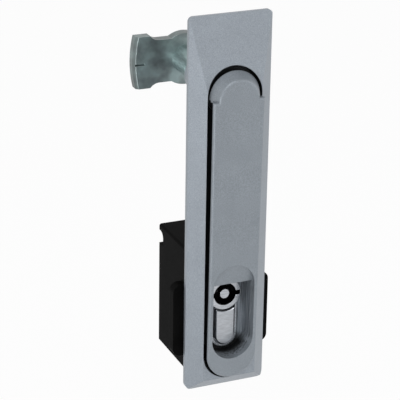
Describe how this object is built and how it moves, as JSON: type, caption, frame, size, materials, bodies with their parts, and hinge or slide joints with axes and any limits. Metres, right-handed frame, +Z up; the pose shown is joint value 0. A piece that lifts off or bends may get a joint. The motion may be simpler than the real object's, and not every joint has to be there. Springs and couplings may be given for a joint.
{
  "type": "padlockable swing handle",
  "caption": "Flush swing handle for a cabinet door, with a fold-out lever, turning latch cam, keyed insert and pull-out padlock hasp.",
  "frame": {"origin": "middle of the cover's seat on the door's outer face", "axes": "+X to the right seen from the front, +Y into the cabinet, +Z up along the cover"},
  "size_m": [0.0542, 0.0785, 0.196],
  "materials": {
    "silver_paint": "satin metallic",
    "lever_paint": "satin metallic",
    "hub_paint": "satin metallic",
    "rubber": "matte",
    "zinc_plate": "zinc plated",
    "cam_zinc": "zinc plated",
    "spring_steel": "dark",
    "steel": "satin",
    "bright_nickel": "satin nickel",
    "pin_nickel": "satin nickel",
    "hasp_nickel": "satin nickel",
    "black_metal": "black",
    "black_plastic": "matte moulded"
  },
  "bodies": {
    "housing": {"escutcheon_plate": "silver_paint", "plate_gasket": "rubber", "rubber_buffers": "rubber", "neck_washer": "zinc_plate", "neck_nut": "zinc_plate", "lock_housing": "bright_nickel", "hasp_stop_pin": "steel", "barrel_circlip": "spring_steel", "rear_lock_box": "black_plastic", "box_screws": "steel"},
    "hub": {"turning_hub": "hub_paint", "hub_shaft": "zinc_plate", "hub_seal": "rubber", "wave_washer": "spring_steel", "retaining_ring": "spring_steel", "latch_cam": "cam_zinc", "cam_washer": "zinc_plate", "cam_screw": "zinc_plate", "hinge_pin": "steel"},
    "lever": {"lever_shell": "lever_paint", "catch_hook": "steel", "catch_screws": "steel"},
    "barrel": {"lock_barrel": "black_metal", "drive_pin": "pin_nickel", "lock_crank": "steel"},
    "slide": {"lock_slide": "steel"},
    "hasp": {"padlock_hasp": "hasp_nickel"}
  },
  "joints": [
    {"name": "handle_swing", "type": "hinge", "parent": "housing", "child": "hub", "pos_m": [0, 0, 0.0595], "axis": [0, -1, 0], "range_deg": [0, 90]},
    {"name": "lever_tilt", "type": "hinge", "parent": "hub", "child": "lever", "pos_m": [0, -0.0077, 0.0648], "axis": [-1, 0, 0], "range_deg": [0, 35]},
    {"name": "lock_turn", "type": "hinge", "parent": "housing", "child": "barrel", "pos_m": [0, 0, -0.0479], "axis": [0, 1, 0], "range_deg": [0, 90]},
    {"name": "lock_slide_travel", "type": "slide", "parent": "housing", "child": "slide", "axis": [0, 0, -1], "range_m": [0, 0.004]},
    {"name": "hasp_slide", "type": "slide", "parent": "housing", "child": "hasp", "axis": [0, -1, 0], "range_m": [0, 0.021]}
  ],
  "couplings": [
    {"joint": "lock_slide_travel", "follows": "lock_turn", "m_per_rad": 0.0025465}
  ]
}
